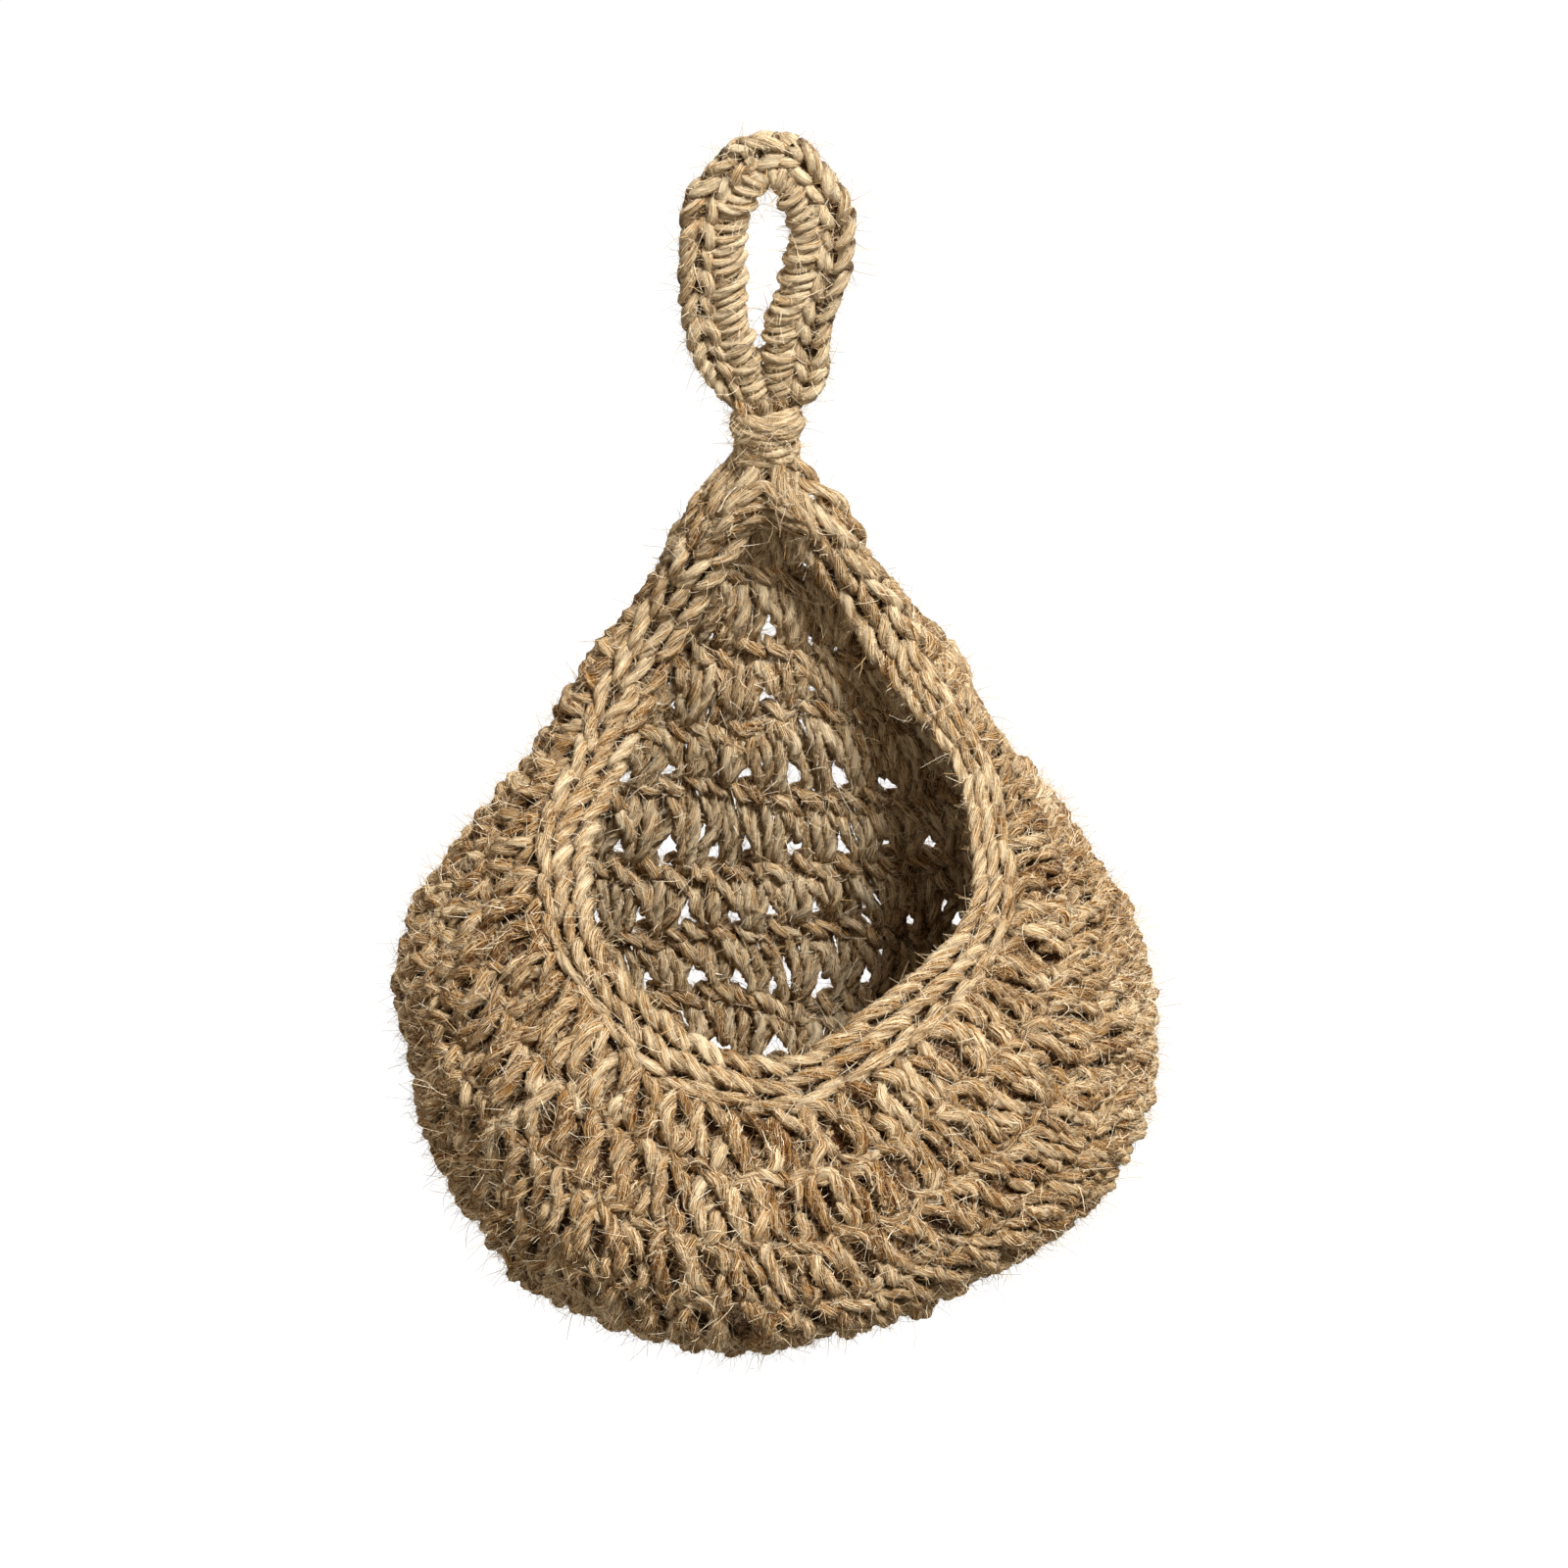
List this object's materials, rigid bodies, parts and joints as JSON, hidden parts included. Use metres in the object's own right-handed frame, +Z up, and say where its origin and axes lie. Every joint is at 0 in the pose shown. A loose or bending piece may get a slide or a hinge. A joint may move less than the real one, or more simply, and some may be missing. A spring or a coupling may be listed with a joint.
{
  "type": "hanging wall basket",
  "caption": "Crocheted jute wall basket: a flat back, a deep round pocket with a tear-shaped mouth, a braided rim, a bound neck and a hanging loop.",
  "frame": {"origin": "the highest point inside the hanging loop's eye, on its middle line, where the hook carries the basket", "axes": "+Z up; -Y the way the pocket faces, away from the wall; +Y to the wall, which the flat back meets; +X to the viewer's right"},
  "size_m": [0.195, 0.168, 0.2854],
  "materials": {
    "loop_core": "laid jute cord, matte",
    "loop_cover": "jute yarn wrapped close in crochet stitches, matte and fibrous",
    "loop_edge_braid": "chain of two-ply jute yarn, matte and fibrous",
    "neck_core": "drawn-together jute yarn, matte",
    "neck_binding": "one jute yarn wound tight, matte and fibrous",
    "apex_gather": "drawn-together jute stitches, matte",
    "rim_braid_inner": "chain of two-ply jute yarn, matte and fibrous",
    "rim_braid_outer": "chain of two-ply jute yarn, matte and fibrous",
    "back_row_01": "open crochet row of two-ply jute yarn, matte and fibrous",
    "back_row_02": "open crochet row of two-ply jute yarn, matte and fibrous",
    "back_row_03": "open crochet row of two-ply jute yarn, matte and fibrous",
    "back_row_04": "open crochet row of two-ply jute yarn, matte and fibrous",
    "back_row_05": "open crochet row of two-ply jute yarn, matte and fibrous",
    "back_row_06": "open crochet row of two-ply jute yarn, matte and fibrous",
    "back_row_07": "open crochet row of two-ply jute yarn, matte and fibrous",
    "back_row_08": "open crochet row of two-ply jute yarn, matte and fibrous",
    "wall_course_01": "close crochet course of two-ply jute yarn, matte and fibrous",
    "wall_course_02": "close crochet course of two-ply jute yarn, matte and fibrous",
    "wall_course_03": "close crochet course of two-ply jute yarn, matte and fibrous",
    "wall_course_04": "close crochet course of two-ply jute yarn, matte and fibrous",
    "wall_course_05": "close crochet course of two-ply jute yarn, matte and fibrous",
    "wall_course_06": "close crochet course of two-ply jute yarn, matte and fibrous",
    "wall_course_07": "close crochet course of two-ply jute yarn, matte and fibrous",
    "wall_course_08": "close crochet course of two-ply jute yarn, matte and fibrous",
    "wall_course_09": "close crochet course of two-ply jute yarn, matte and fibrous",
    "wall_course_10": "close crochet course of two-ply jute yarn, matte and fibrous",
    "wall_course_11": "close crochet course of two-ply jute yarn, matte and fibrous",
    "wall_course_12": "close crochet course of two-ply jute yarn, matte and fibrous",
    "wall_course_13": "close crochet course of two-ply jute yarn, matte and fibrous"
  },
  "bodies": {
    "hanging_loop": {"loop_core": "loop_core", "loop_cover": "loop_cover", "loop_edge_braid": "loop_edge_braid"},
    "neck": {"neck_core": "neck_core", "neck_binding": "neck_binding"},
    "basket": {"apex_gather": "apex_gather", "rim_braid_inner": "rim_braid_inner", "rim_braid_outer": "rim_braid_outer", "back_row_01": "back_row_01", "back_row_02": "back_row_02", "back_row_03": "back_row_03", "back_row_04": "back_row_04", "back_row_05": "back_row_05", "back_row_06": "back_row_06", "back_row_07": "back_row_07", "back_row_08": "back_row_08", "wall_course_01": "wall_course_01", "wall_course_02": "wall_course_02", "wall_course_03": "wall_course_03", "wall_course_04": "wall_course_04", "wall_course_05": "wall_course_05", "wall_course_06": "wall_course_06", "wall_course_07": "wall_course_07", "wall_course_08": "wall_course_08", "wall_course_09": "wall_course_09", "wall_course_10": "wall_course_10", "wall_course_11": "wall_course_11", "wall_course_12": "wall_course_12", "wall_course_13": "wall_course_13"}
  },
  "joints": [
    {"name": "neck_twist", "type": "hinge", "parent": "hanging_loop", "child": "neck", "pos_m": [0, 0, -0.0565], "axis": [0, 0, 1], "range_deg": [-45, 45], "stiffness_Nm_per_rad": 0.05},
    {"name": "basket_tilt", "type": "hinge", "parent": "neck", "child": "basket", "pos_m": [0, 0, -0.0761], "axis": [-1, 0, 0], "range_deg": [0, 45]}
  ]
}
